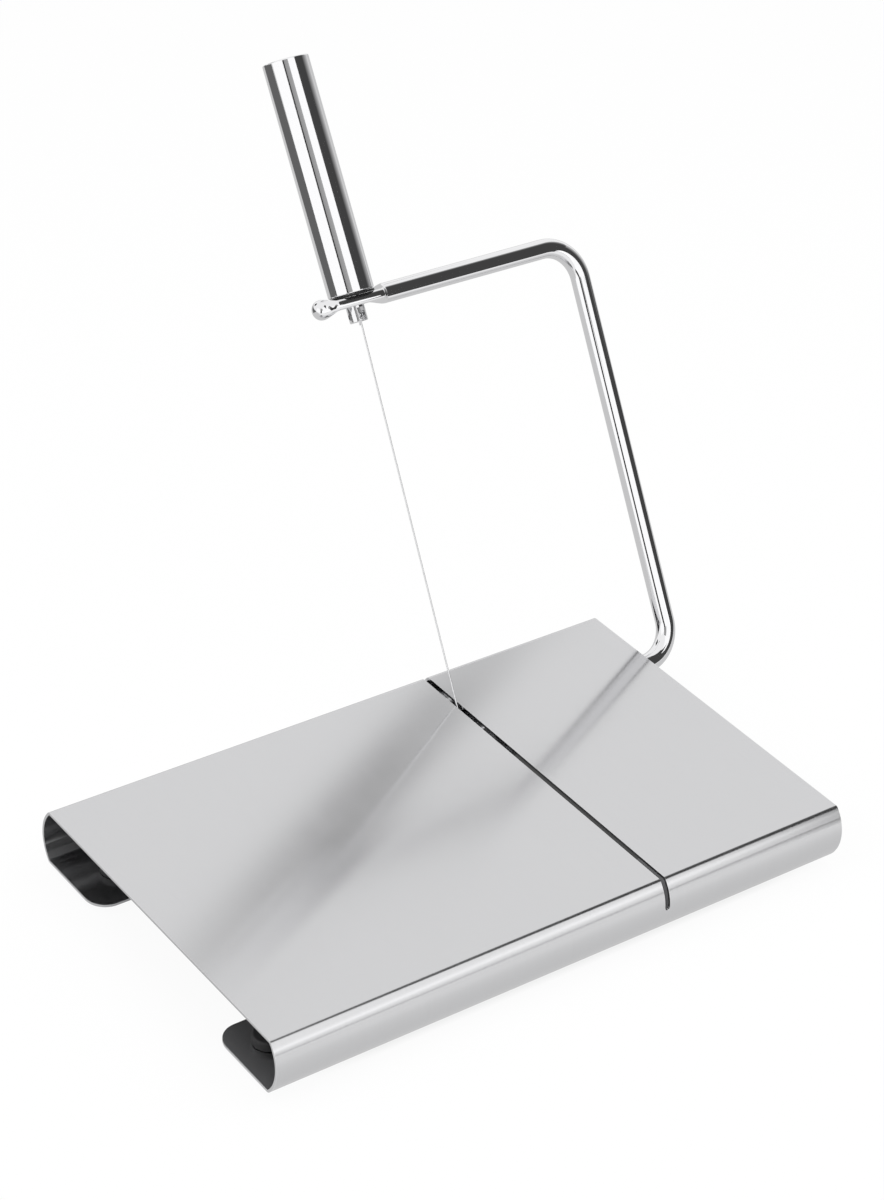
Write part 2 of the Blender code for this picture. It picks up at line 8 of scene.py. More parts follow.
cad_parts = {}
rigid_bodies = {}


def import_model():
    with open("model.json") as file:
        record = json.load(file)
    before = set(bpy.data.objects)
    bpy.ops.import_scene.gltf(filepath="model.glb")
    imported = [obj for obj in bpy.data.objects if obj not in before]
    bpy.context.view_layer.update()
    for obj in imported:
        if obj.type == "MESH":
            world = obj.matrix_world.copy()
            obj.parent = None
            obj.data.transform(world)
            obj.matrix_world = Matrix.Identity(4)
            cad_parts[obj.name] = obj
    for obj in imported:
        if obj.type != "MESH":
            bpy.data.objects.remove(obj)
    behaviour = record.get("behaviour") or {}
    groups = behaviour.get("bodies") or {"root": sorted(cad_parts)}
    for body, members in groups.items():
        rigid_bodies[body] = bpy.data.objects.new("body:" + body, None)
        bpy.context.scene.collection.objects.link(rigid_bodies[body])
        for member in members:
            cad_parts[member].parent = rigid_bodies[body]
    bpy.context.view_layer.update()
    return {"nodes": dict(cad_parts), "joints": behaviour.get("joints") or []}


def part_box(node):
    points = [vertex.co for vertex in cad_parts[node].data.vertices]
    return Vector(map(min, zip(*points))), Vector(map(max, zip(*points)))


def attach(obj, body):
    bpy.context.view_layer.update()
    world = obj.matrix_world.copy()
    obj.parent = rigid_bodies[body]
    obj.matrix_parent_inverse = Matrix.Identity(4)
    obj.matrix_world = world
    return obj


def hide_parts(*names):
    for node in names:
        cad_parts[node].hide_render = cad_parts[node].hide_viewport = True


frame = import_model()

# The start-up cube, lamp and camera go
for leftover in [thing for thing in bpy.data.objects if thing.name in ("Cube", "Light", "Camera")]:
    bpy.data.objects.remove(leftover, do_unlink=True)

# Places and directions taken from the frame
joints = {joint["name"]: joint for joint in frame["joints"]}
boardLow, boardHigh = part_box("board")
bowLow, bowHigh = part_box("bow")
axleCentre = Vector(joints["bow_swing"]["pos_m"])
eyeCentre = Vector(joints["handle_turn"]["pos_m"])
handleWay = Vector(joints["handle_turn"]["axis"]).normalized()
slotX = eyeCentre.x
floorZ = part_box("foot_rear_left")[0].z
handleTurn = -math.atan2(handleWay.y, handleWay.z)     # from straight up to the handle's own lean
handleFrame = Matrix.Translation(eyeCentre) @ Matrix.Rotation(handleTurn, 4, "X")
intoHandle = handleFrame.inverted()
axleInHandle = intoHandle @ axleCentre
bowWay = -axleInHandle.normalized()                    # from the axle to the eye, seen from the handle
bowArm = axleInHandle.length
seatGap = 0.0003
cutOverrun = 0.002
tiny = 0.00001
straightOn = 0.99                                      # from here on a direction counts as along an axis
quarter = math.radians(90)
whole = math.radians(360)


# Small tools for modelling with operators
def objectMode():
    if bpy.context.object and bpy.context.object.mode != "OBJECT":
        bpy.ops.object.mode_set(mode="OBJECT")


def selectOnly(*pieces):
    objectMode()
    bpy.ops.object.select_all(action="DESELECT")
    for piece in pieces:
        piece.select_set(True)
    bpy.context.view_layer.objects.active = pieces[-1] if pieces else None


def named(name):
    # what was just added takes its name, and its place goes into its mesh
    piece = bpy.context.object
    piece.name = name
    piece.data.name = name
    bpy.ops.object.transform_apply(location=True, rotation=True, scale=True)
    return piece


def editAlone(piece):
    selectOnly(piece)
    bpy.ops.object.mode_set(mode="EDIT")


def selectAll():
    bpy.ops.mesh.select_mode(type="EDGE")
    bpy.ops.mesh.select_all(action="SELECT")


def pick(kind, test):
    bpy.ops.mesh.select_mode(type=kind)
    bpy.ops.mesh.select_all(action="DESELECT")
    mesh = bpy.context.object.data
    shape = bmesh.from_edit_mesh(mesh)
    items = {"VERT": shape.verts, "EDGE": shape.edges, "FACE": shape.faces}[kind]
    for item in items:
        if test(item):
            item.select_set(True)
    shape.select_flush_mode()
    bmesh.update_edit_mesh(mesh)


def pickEdges(test):
    # edges whose two ends both pass
    pick("EDGE", lambda edge: all(test(vert.co) for vert in edge.verts))


def push(offset):
    bpy.ops.mesh.extrude_region_move(TRANSFORM_OT_translate={"value": tuple(offset)})


def swing(centre, axis, angle, steps):
    # spin counts its angle the other way round
    bpy.ops.mesh.spin(steps=steps, angle=-angle, center=tuple(centre), axis=tuple(axis))


def stretch(scale, centre):
    bpy.ops.transform.resize(value=tuple(scale), center_override=tuple(centre))


def finishWith(piece, kind, **settings):
    selectOnly(piece)
    step = piece.modifiers.new(kind.lower(), kind)
    for name, value in settings.items():
        setattr(step, name, value)
    bpy.ops.object.modifier_apply(modifier=step.name)


def cutWith(piece, cutter):
    finishWith(piece, "BOOLEAN", operation="DIFFERENCE", solver="EXACT", object=cutter)
    bpy.data.objects.remove(cutter, do_unlink=True)


def blockCutter(low, high):
    selectOnly()
    bpy.ops.mesh.primitive_cube_add(size=1, location=(Vector(low) + Vector(high)) / 2)
    bpy.context.object.scale = Vector(high) - Vector(low)
    return named("cutter")


def roundCutter(start, end, radius, sides=48):
    selectOnly()
    along = Vector(end) - Vector(start)
    bpy.ops.mesh.primitive_cylinder_add(vertices=sides, radius=radius, depth=along.length,
                                        location=(Vector(start) + Vector(end)) / 2,
                                        rotation=along.to_track_quat("Z", "Y").to_euler())
    return named("cutter")


def outwardFaces(piece):
    editAlone(piece)
    selectAll()
    bpy.ops.mesh.remove_doubles(threshold=tiny / 10)
    bpy.ops.mesh.normals_make_consistent(inside=False)
    objectMode()


def smoothOver(piece, degrees=40):
    selectOnly(piece)
    bpy.ops.object.shade_smooth_by_angle(angle=math.radians(degrees))
    finishWith(piece, "WEIGHTED_NORMAL", mode="FACE_AREA", weight=80, keep_sharp=True)


def softenEdges(piece, width, segments=2, degrees=50):
    finishWith(piece, "BEVEL", width=width, segments=segments, limit_method="ANGLE",
               angle_limit=math.radians(degrees), use_clamp_overlap=True, harden_normals=False)


def putInPlace(piece, matrix):
    selectOnly(piece)
    piece.matrix_world = matrix
    bpy.ops.object.transform_apply(location=True, rotation=True, scale=True)


def dress(piece, material, body, slotName, *nodes):
    piece.data.materials.clear()
    piece.data.materials.append(material)
    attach(piece, body)
    if nodes:
        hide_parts(*nodes)


# Node groups that several finishes share
def newGroup(name, inputs, outputs):
    group = bpy.data.node_groups.new(name, "ShaderNodeTree")
    for label, value in inputs.items():
        kind = "NodeSocketVector" if value is None else "NodeSocketFloat"
        socket = group.interface.new_socket(name=label, in_out="INPUT", socket_type=kind)
        if value is not None:
            socket.default_value = value
    for label in outputs:
        group.interface.new_socket(name=label, in_out="OUTPUT", socket_type="NodeSocketFloat")
    return group, group.nodes.new("NodeGroupInput"), group.nodes.new("NodeGroupOutput")


grainSpec = {"scale": 1.0, "detail": 3.0, "roughness": 0.6}
markSpec = {
    "cloudDetail": 4.0, "cloudDistortion": 0.6, "smudgeFrom": 0.42, "smudgeTo": 0.68,
    "scratchWidth": 0.012, "gapScale": 90.0, "gapLevel": 0.56,
}
# the edge mask: paler edges, partly wear and partly a painted highlight
edgeSpec = {"radius": 0.0004, "samples": 4, "flat": 1.0, "turned": 0.8}


def buildGrainGroup(spec):
    # noise drawn out along local X and fine across it
    inputs = {"Place": None, "Along": 40.0, "Across": 4000.0, "Upward": 4000.0}
    group, start, end = newGroup("metalGrain", inputs, ["Grain"])
    link = group.links.new
    scale = group.nodes.new("ShaderNodeCombineXYZ")
    stretched = group.nodes.new("ShaderNodeVectorMath")
    stretched.operation = "MULTIPLY"
    noise = group.nodes.new("ShaderNodeTexNoise")
    noise.inputs["Scale"].default_value = spec["scale"]
    noise.inputs["Detail"].default_value = spec["detail"]
    noise.inputs["Roughness"].default_value = spec["roughness"]
    link(start.outputs["Along"], scale.inputs["X"])
    link(start.outputs["Across"], scale.inputs["Y"])
    link(start.outputs["Upward"], scale.inputs["Z"])
    link(start.outputs["Place"], stretched.inputs[0])
    link(scale.outputs["Vector"], stretched.inputs[1])
    link(stretched.outputs["Vector"], noise.inputs["Vector"])
    link(noise.outputs["Fac"], end.inputs["Grain"])
    return group


def buildHandlingGroup(spec):
    # faint smudges from hands and cloths, and short fine scratches
    inputs = {"Place": None, "Smudge Scale": 25.0, "Scratch Scale": 260.0}
    group, start, end = newGroup("handlingMarks", inputs, ["Smudge", "Scratch"])
    link = group.links.new
    cloud = group.nodes.new("ShaderNodeTexNoise")
    cloud.inputs["Detail"].default_value = spec["cloudDetail"]
    cloud.inputs["Distortion"].default_value = spec["cloudDistortion"]
    link(start.outputs["Place"], cloud.inputs["Vector"])
    link(start.outputs["Smudge Scale"], cloud.inputs["Scale"])
    spread = group.nodes.new("ShaderNodeMapRange")
    spread.inputs["From Min"].default_value = spec["smudgeFrom"]
    spread.inputs["From Max"].default_value = spec["smudgeTo"]
    link(cloud.outputs["Fac"], spread.inputs["Value"])
    cells = group.nodes.new("ShaderNodeTexVoronoi")
    cells.feature = "DISTANCE_TO_EDGE"
    link(start.outputs["Place"], cells.inputs["Vector"])
    link(start.outputs["Scratch Scale"], cells.inputs["Scale"])
    line = group.nodes.new("ShaderNodeMapRange")
    line.inputs["From Min"].default_value = spec["scratchWidth"]
    line.inputs["From Max"].default_value = 0.0
    link(cells.outputs["Distance"], line.inputs["Value"])
    broken = group.nodes.new("ShaderNodeTexNoise")
    broken.inputs["Scale"].default_value = spec["gapScale"]
    link(start.outputs["Place"], broken.inputs["Vector"])
    gate = group.nodes.new("ShaderNodeMath")
    gate.operation = "GREATER_THAN"
    gate.inputs[1].default_value = spec["gapLevel"]
    link(broken.outputs["Fac"], gate.inputs[0])
    both = group.nodes.new("ShaderNodeMath")
    both.operation = "MULTIPLY"
    link(line.outputs["Result"], both.inputs[0])
    link(gate.outputs["Value"], both.inputs[1])
    link(spread.outputs["Result"], end.inputs["Smudge"])
    link(both.outputs["Value"], end.inputs["Scratch"])
    return group


def buildEdgeGroup(spec):
    # white where the surface turns within the given radius, for edges made paler: partly wear, partly a
    # painted highlight
    group, start, end = newGroup("edgeWearAndHighlight", {"Amount": 1.0}, ["Edge"])
    link = group.links.new
    rounded = group.nodes.new("ShaderNodeBevel")
    rounded.samples = spec["samples"]
    rounded.inputs["Radius"].default_value = spec["radius"]
    here = group.nodes.new("ShaderNodeNewGeometry")
    facing = group.nodes.new("ShaderNodeVectorMath")
    facing.operation = "DOT_PRODUCT"
    link(rounded.outputs["Normal"], facing.inputs[0])
    link(here.outputs["Normal"], facing.inputs[1])
    turned = group.nodes.new("ShaderNodeMapRange")
    turned.inputs["From Min"].default_value = spec["flat"]
    turned.inputs["From Max"].default_value = spec["turned"]
    link(facing.outputs["Value"], turned.inputs["Value"])
    amount = group.nodes.new("ShaderNodeMath")
    amount.operation = "MULTIPLY"
    link(turned.outputs["Result"], amount.inputs[0])
    link(start.outputs["Amount"], amount.inputs[1])
    link(amount.outputs["Value"], end.inputs["Edge"])
    return group


grainGroup = buildGrainGroup(grainSpec)
handlingGroup = buildHandlingGroup(markSpec)
edgeGroup = buildEdgeGroup(edgeSpec)


def newMaterial(name, metallic):
    material = bpy.data.materials.new(name)
    material.use_nodes = True
    shader = material.node_tree.nodes["Principled BSDF"]
    shader.inputs["Metallic"].default_value = metallic
    return material, shader


def placedOn(material, spec):
    # Object coordinates, centred and turned so that local X runs along the grain
    nodes = material.node_tree.nodes
    place = nodes.new("ShaderNodeTexCoord")
    mapping = nodes.new("ShaderNodeMapping")
    mapping.vector_type = "TEXTURE"
    mapping.inputs["Location"].default_value = spec.get("centre", (0, 0, 0))
    mapping.inputs["Rotation"].default_value = spec.get("turn", (0, 0, 0))
    material.node_tree.links.new(place.outputs["Object"], mapping.inputs["Vector"])
    return mapping.outputs["Vector"]


def addGroup(material, group, place=None, **values):
    node = material.node_tree.nodes.new("ShaderNodeGroup")
    node.node_tree = group
    for label, value in values.items():
        node.inputs[label.replace("_", " ")].default_value = value
    if place is not None:
        material.node_tree.links.new(place, node.inputs["Place"])
    return node


def weighted(material, value, weight, base):
    # value times weight, plus a base that is a number or another output
    node = material.node_tree.nodes.new("ShaderNodeMath")
    node.operation = "MULTIPLY_ADD"
    node.inputs[1].default_value = weight
    material.node_tree.links.new(value, node.inputs[0])
    if isinstance(base, (int, float)):
        node.inputs[2].default_value = base
    else:
        material.node_tree.links.new(base, node.inputs[2])
    return node.outputs["Value"]


def mixedColour(material, factor, first, second):
    node = material.node_tree.nodes.new("ShaderNodeMix")
    node.data_type = "RGBA"
    node.clamp_factor = True
    material.node_tree.links.new(factor, node.inputs["Factor"])
    for label, colour in (("A", first), ("B", second)):
        if isinstance(colour, tuple):
            node.inputs[label].default_value = (*colour, 1)
        else:
            material.node_tree.links.new(colour, node.inputs[label])
    return node.outputs["Result"]


def steelFinish(name, spec):
    # one steel: grain along the rolling or drawing direction, smudges, scratches and paler edges that are
    # partly wear and partly a painted highlight
    material, shader = newMaterial(name, 1.0)
    link = material.node_tree.links.new
    place = placedOn(material, spec)
    grain = addGroup(material, grainGroup, place, Along=spec["along"], Across=spec["across"],
                     Upward=spec.get("upward", spec["across"])).outputs["Grain"]
    marks = addGroup(material, handlingGroup, place,
                     Smudge_Scale=spec["smudges"], Scratch_Scale=spec["scratches"])
    edge = addGroup(material, edgeGroup, Amount=spec["edge"]).outputs["Edge"]
    colour = mixedColour(material, grain, spec["dark"], spec["light"])
    # edges take the paler edge colour: partly wear, partly a painted highlight
    colour = mixedColour(material, edge, colour, spec["wearAndHighlight"])
    link(colour, shader.inputs["Base Color"])
    rough = weighted(material, grain, spec["grainRough"], spec["rough"])
    rough = weighted(material, marks.outputs["Smudge"], spec["smudgeRough"], rough)
    link(rough, shader.inputs["Roughness"])
    height = weighted(material, marks.outputs["Scratch"], spec["scratchDepth"], grain)
    bump = material.node_tree.nodes.new("ShaderNodeBump")
    bump.inputs["Strength"].default_value = spec["bump"]
    bump.inputs["Distance"].default_value = spec["bumpDepth"]
    link(height, bump.inputs["Height"])
    link(bump.outputs["Normal"], shader.inputs["Normal"])
    if "spread" in spec:
        # fine brushing across the sheet: reflections spread along the board's length only
        around = material.node_tree.nodes.new("ShaderNodeTangent")
        around.direction_type = "RADIAL"
        around.axis = "X"
        link(around.outputs["Tangent"], shader.inputs["Tangent"])
        shader.inputs["Anisotropic"].default_value = spec["spread"]
        shader.inputs["Anisotropic Rotation"].default_value = spec["spreadTurn"]
    return material


def softFinish(name, spec):
    # rubber or moulded plastic: fine pores, a little dust and paler edges that are partly rubbed and partly a
    # painted highlight
    material, shader = newMaterial(name, 0.0)
    link = material.node_tree.links.new
    place = placedOn(material, spec)
    grain = addGroup(material, grainGroup, place, Along=spec["pores"], Across=spec["pores"],
                     Upward=spec["pores"]).outputs["Grain"]
    marks = addGroup(material, handlingGroup, place,
                     Smudge_Scale=spec["smudges"], Scratch_Scale=spec["scratches"])
    edge = addGroup(material, edgeGroup, Amount=spec["edge"]).outputs["Edge"]
    colour = mixedColour(material, grain, spec["dark"], spec["light"])
    # dust and edges take the paler edge colour, the edges partly wear and partly a painted highlight
    colour = mixedColour(material, weighted(material, marks.outputs["Smudge"], spec["dust"], edge), colour,
                         spec["wearAndHighlight"])
    link(colour, shader.inputs["Base Color"])
    link(weighted(material, grain, spec["grainRough"], spec["rough"]), shader.inputs["Roughness"])
    shader.inputs["Specular IOR Level"].default_value = spec["gloss"]
    bump = material.node_tree.nodes.new("ShaderNodeBump")
    bump.inputs["Strength"].default_value = spec["bump"]
    bump.inputs["Distance"].default_value = spec["bumpDepth"]
    link(grain, bump.inputs["Height"])
    link(bump.outputs["Normal"], shader.inputs["Normal"])
    return material


alongHandle = {"centre": tuple(eyeCentre), "turn": (handleTurn, quarter, 0)}
satinSteel = steelFinish("satin_steel", {
    "turn": (0, 0, quarter), "spread": 1.0, "spreadTurn": 0.25,
    "dark": (0.61, 0.61, 0.62), "light": (0.66, 0.66, 0.67), "wearAndHighlight": (0.86, 0.86, 0.87), "edge": 0.8,
    "rough": 0.14, "grainRough": 0.03, "smudgeRough": 0.015, "along": 50, "across": 5200, "upward": 50,
    "smudges": 22, "scratches": 240, "scratchDepth": -0.4, "bump": 0.03, "bumpDepth": 0.00002,
})
polishedRod = steelFinish("polished_rod", {
    "dark": (0.80, 0.80, 0.81), "light": (0.86, 0.86, 0.87), "wearAndHighlight": (0.92, 0.92, 0.92), "edge": 0.5,
    "rough": 0.025, "grainRough": 0.02, "smudgeRough": 0.015, "along": 90, "across": 3000,
    "smudges": 60, "scratches": 500, "scratchDepth": -0.5, "bump": 0.02, "bumpDepth": 0.00001,
})
polishedTube = steelFinish("polished_tube", {
    **alongHandle,
    "dark": (0.80, 0.80, 0.81), "light": (0.86, 0.86, 0.87), "wearAndHighlight": (0.92, 0.92, 0.92), "edge": 0.5,
    "rough": 0.03, "grainRough": 0.03, "smudgeRough": 0.02, "along": 120, "across": 3600,
    "smudges": 55, "scratches": 420, "scratchDepth": -0.5, "bump": 0.03, "bumpDepth": 0.00001,
})
turnedSteel = steelFinish("turned_steel", {
    **alongHandle,
    "dark": (0.74, 0.74, 0.75), "light": (0.86, 0.86, 0.87), "wearAndHighlight": (0.92, 0.92, 0.92), "edge": 0.6,
    "rough": 0.05, "grainRough": 0.06, "smudgeRough": 0.03, "along": 5000, "across": 300,
    "smudges": 120, "scratches": 700, "scratchDepth": -0.5, "bump": 0.06, "bumpDepth": 0.00002,
})
drawnSteel = steelFinish("drawn_steel", {
    **alongHandle,
    "dark": (0.80, 0.80, 0.81), "light": (0.90, 0.90, 0.91), "wearAndHighlight": (0.92, 0.92, 0.92), "edge": 0.2,
    "rough": 0.05, "grainRough": 0.06, "smudgeRough": 0.03, "along": 150, "across": 9000,
    "smudges": 200, "scratches": 900, "scratchDepth": -0.3, "bump": 0.10, "bumpDepth": 0.00001,
})
plainSteel = steelFinish("plain_steel", {
    "dark": (0.44, 0.44, 0.46), "light": (0.56, 0.56, 0.57), "wearAndHighlight": (0.74, 0.74, 0.74), "edge": 0.9,
    "rough": 0.28, "grainRough": 0.14, "smudgeRough": 0.08, "along": 300, "across": 2400,
    "smudges": 90, "scratches": 600, "scratchDepth": -0.6, "bump": 0.15, "bumpDepth": 0.00003,
})
zincSteel = steelFinish("zinc_steel", {
    "dark": (0.42, 0.43, 0.46), "light": (0.56, 0.57, 0.59), "wearAndHighlight": (0.74, 0.74, 0.74), "edge": 0.9,
    "rough": 0.26, "grainRough": 0.16, "smudgeRough": 0.10, "along": 900, "across": 900,
    "smudges": 160, "scratches": 800, "scratchDepth": -0.6, "bump": 0.15, "bumpDepth": 0.00003,
})
footRubber = softFinish("foot_rubber", {
    "dark": (0.012, 0.012, 0.013), "light": (0.024, 0.024, 0.025), "wearAndHighlight": (0.06, 0.06, 0.06), "edge": 0.5,
    "rough": 0.55, "grainRough": 0.25, "pores": 2600, "smudges": 130, "scratches": 500, "dust": 0.25,
    "gloss": 0.5, "bump": 0.25, "bumpDepth": 0.00004,
})
washerPlastic = softFinish("washer_plastic", {
    "dark": (0.010, 0.010, 0.011), "light": (0.018, 0.018, 0.019), "wearAndHighlight": (0.05, 0.05, 0.05), "edge": 0.4,
    "rough": 0.35, "grainRough": 0.20, "pores": 3200, "smudges": 160, "scratches": 600, "dust": 0.10,
    "gloss": 0.2, "bump": 0.15, "bumpDepth": 0.00003,
})
print("finishes ready")


# Board: half a sheet is rolled by spins, mirrored, thickened, slotted and pierced for the feet
boardSpec = {
    "bulge": 0.0044, "sheet": 0.001, "bend": 0.002, "flange": 0.033, "corner": 0.008,
    "slotWidth": 0.0021, "slotFrontDrop": 0.0108, "slotRearDrop": 0.002, "footHole": 0.0038,
    "slotRound": 0.96, "slotSteps": 6, "bendSteps": 10, "wallSteps": 35, "cornerSteps": 12, "edge": 0.00012,
}


def makeBoard(spec):
    height = boardHigh.z - boardLow.z
    half = height / 2
    bend = spec["bend"]
    wallRadius = (half ** 2 + spec["bulge"] ** 2) / (2 * spec["bulge"])
    wallY = boardLow.y + wallRadius
    reach = wallRadius - bend
    bendY = wallY - math.sqrt(reach ** 2 - (half - bend) ** 2)
    turn = math.asin((half - bend) / reach)
    flangeY = boardLow.y + spec["bulge"] + spec["flange"]
    selectOnly()
    bpy.ops.mesh.primitive_plane_add(size=1, location=(0, bendY / 2, 0))
    bpy.context.object.scale = (boardHigh.x - boardLow.x, -bendY, 1)
    board = named("board_sheet")
    editAlone(board)
    pickEdges(lambda co: co.y < bendY + tiny)
    swing((0, bendY, -bend), (1, 0, 0), quarter - turn, spec["bendSteps"])
    swing((0, wallY, -half), (1, 0, 0), 2 * turn, spec["wallSteps"])
    swing((0, bendY, bend - height), (1, 0, 0), quarter - turn, spec["bendSteps"])
    push((0, flangeY - bendY, 0))
    pick("VERT", lambda vert: vert.co.z < -half and vert.co.y > flangeY - tiny)
    bpy.ops.mesh.bevel(offset=spec["corner"], segments=spec["cornerSteps"], affect="VERTICES")
    # two loops beside the slot keep its cut out of the long faces
    for side in (-1, 1):
        selectAll()
        bpy.ops.mesh.bisect(plane_co=(slotX + side * 2 * spec["slotWidth"], 0, 0), plane_no=(1, 0, 0))
    finishWith(board, "MIRROR", use_axis=(False, True, False), merge_threshold=tiny)
    outwardFaces(board)
    finishWith(board, "SOLIDIFY", thickness=spec["sheet"], offset=-1, use_even_offset=True)
    cutWith(board, makeSlotBlade(spec))
    for foot in ("foot_front_left", "foot_front_right", "foot_rear_left", "foot_rear_right"):
        footLow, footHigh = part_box(foot)
        middle = (footLow + footHigh) / 2
        cutWith(board, roundCutter((*middle.xy, floorZ), (*middle.xy, footHigh.z), spec["footHole"]))
    softenEdges(board, spec["edge"])
    smoothOver(board)
    return board


def makeSlotBlade(spec):
    # an upright blade, deeper and round-ended at the front, shallow at the back
    half = spec["slotWidth"] / 2
    shallow = -spec["slotRearDrop"]
    blade = blockCutter((slotX - half, boardLow.y - cutOverrun, shallow),
                        (slotX + half, boardHigh.y + cutOverrun, cutOverrun))
    editAlone(blade)
    selectAll()
    bpy.ops.mesh.bisect(plane_co=(slotX, 0, 0), plane_no=(0, 1, 0))
    pick("FACE", lambda face: face.normal.z < -straightOn and face.calc_center_median().y < 0)
    push((0, 0, -spec["slotFrontDrop"] - shallow))
    pick("EDGE", lambda edge: all(vert.co.z < shallow - tiny for vert in edge.verts)
         and abs(edge.verts[0].co.x - edge.verts[1].co.x) < tiny
         and abs(edge.verts[0].co.z - edge.verts[1].co.z) < tiny)
    bpy.ops.mesh.bevel(offset=half * spec["slotRound"], segments=spec["slotSteps"], affect="EDGES")
    objectMode()
    return blade


board = makeBoard(boardSpec)
dress(board, satinSteel, "base", "board_steel", "board")
print("board rolled, slotted and pierced")


# Feet: one is modelled, then copied to the other three holes
footSpec = {
    "padRadius": 0.0075, "padHeight": 0.003, "neckRadius": 0.0035, "headRadius": 0.0056, "headHeight": 0.0034,
    "padEdge": 0.0006, "headEdge": 0.0009, "edgeSteps": 4, "hollow": 0.0004, "hollowRadius": 0.0046,
    "hollowTaper": 0.86, "sides": 56,
}


def makeFoot(spec):
    footLow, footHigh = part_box("foot_rear_left")
    x, y = ((footLow + footHigh) / 2).xy
    padTop = footLow.z + spec["padHeight"]
    headLow = footHigh.z - spec["headHeight"]
    selectOnly()
    bpy.ops.mesh.primitive_cylinder_add(vertices=spec["sides"], radius=spec["padRadius"],
                                        depth=spec["padHeight"],
                                        location=(x, y, footLow.z + spec["padHeight"] / 2))
    foot = named("rubber_foot_rear_left")
    editAlone(foot)
    pick("FACE", lambda face: face.normal.z > straightOn)
    bpy.ops.mesh.inset(thickness=spec["padRadius"] - spec["neckRadius"])
    push((0, 0, headLow - padTop))
    bpy.ops.mesh.extrude_region_move()
    widen = spec["headRadius"] / spec["neckRadius"]
    stretch((widen, widen, 1), (x, y, headLow))
    push((0, 0, spec["headHeight"]))
    pickEdges(lambda co: co.z > footHigh.z - tiny)
    bpy.ops.mesh.bevel(offset=spec["headEdge"], segments=spec["edgeSteps"], affect="EDGES")
    pickEdges(lambda co: co.z < footLow.z + tiny)
    bpy.ops.mesh.bevel(offset=spec["padEdge"], segments=spec["edgeSteps"], affect="EDGES")
    pick("FACE", lambda face: face.normal.z < -straightOn
         and face.calc_center_median().z < footLow.z + tiny)
    bpy.ops.mesh.inset(thickness=spec["padRadius"] - spec["padEdge"] - spec["hollowRadius"])
    push((0, 0, spec["hollow"]))
    stretch((spec["hollowTaper"], spec["hollowTaper"], 1), (x, y, footLow.z))
    objectMode()
    outwardFaces(foot)
    smoothOver(foot, degrees=32)
    return foot


def copyFoot(foot, node, name):
    fromLow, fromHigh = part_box("foot_rear_left")
    toLow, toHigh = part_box(node)
    selectOnly(foot)
    bpy.ops.object.duplicate(linked=False)
    bpy.context.object.location = (toLow + toHigh - fromLow - fromHigh) / 2
    return named(name)


firstFoot = makeFoot(footSpec)
feet = {"foot_rear_left": firstFoot}
for node in ("foot_front_left", "foot_front_right", "foot_rear_right"):
    feet[node] = copyFoot(firstFoot, node, "rubber_" + node)
for node, foot in feet.items():
    dress(foot, footRubber, "base", "foot_rubber", node)
print("feet pushed in")


# Bow: one rod swept from the axle's free end to the tip,
# modelled with the handle's axis upright and the eye at 0
bowSpec = {
    "rod": 0.0037, "sides": 64, "lowerBend": 0.0135, "upperBend": 0.0143, "bendSteps": 28,
    "eyeFlat": 0.019, "eyeWidth": 0.0126, "eyeThickness": 0.0036, "eyeHole": 0.0037, "flatSteps": 12,
    "legBlend": 0.0034, "tipBlend": 0.0045, "blendSteps": 14, "dome": 0.0034, "domeSteps": 10,
    "axleEdge": 0.0005, "pressSteps": 80, "wireHole": 0.0008, "pinHole": 0.00155,
}


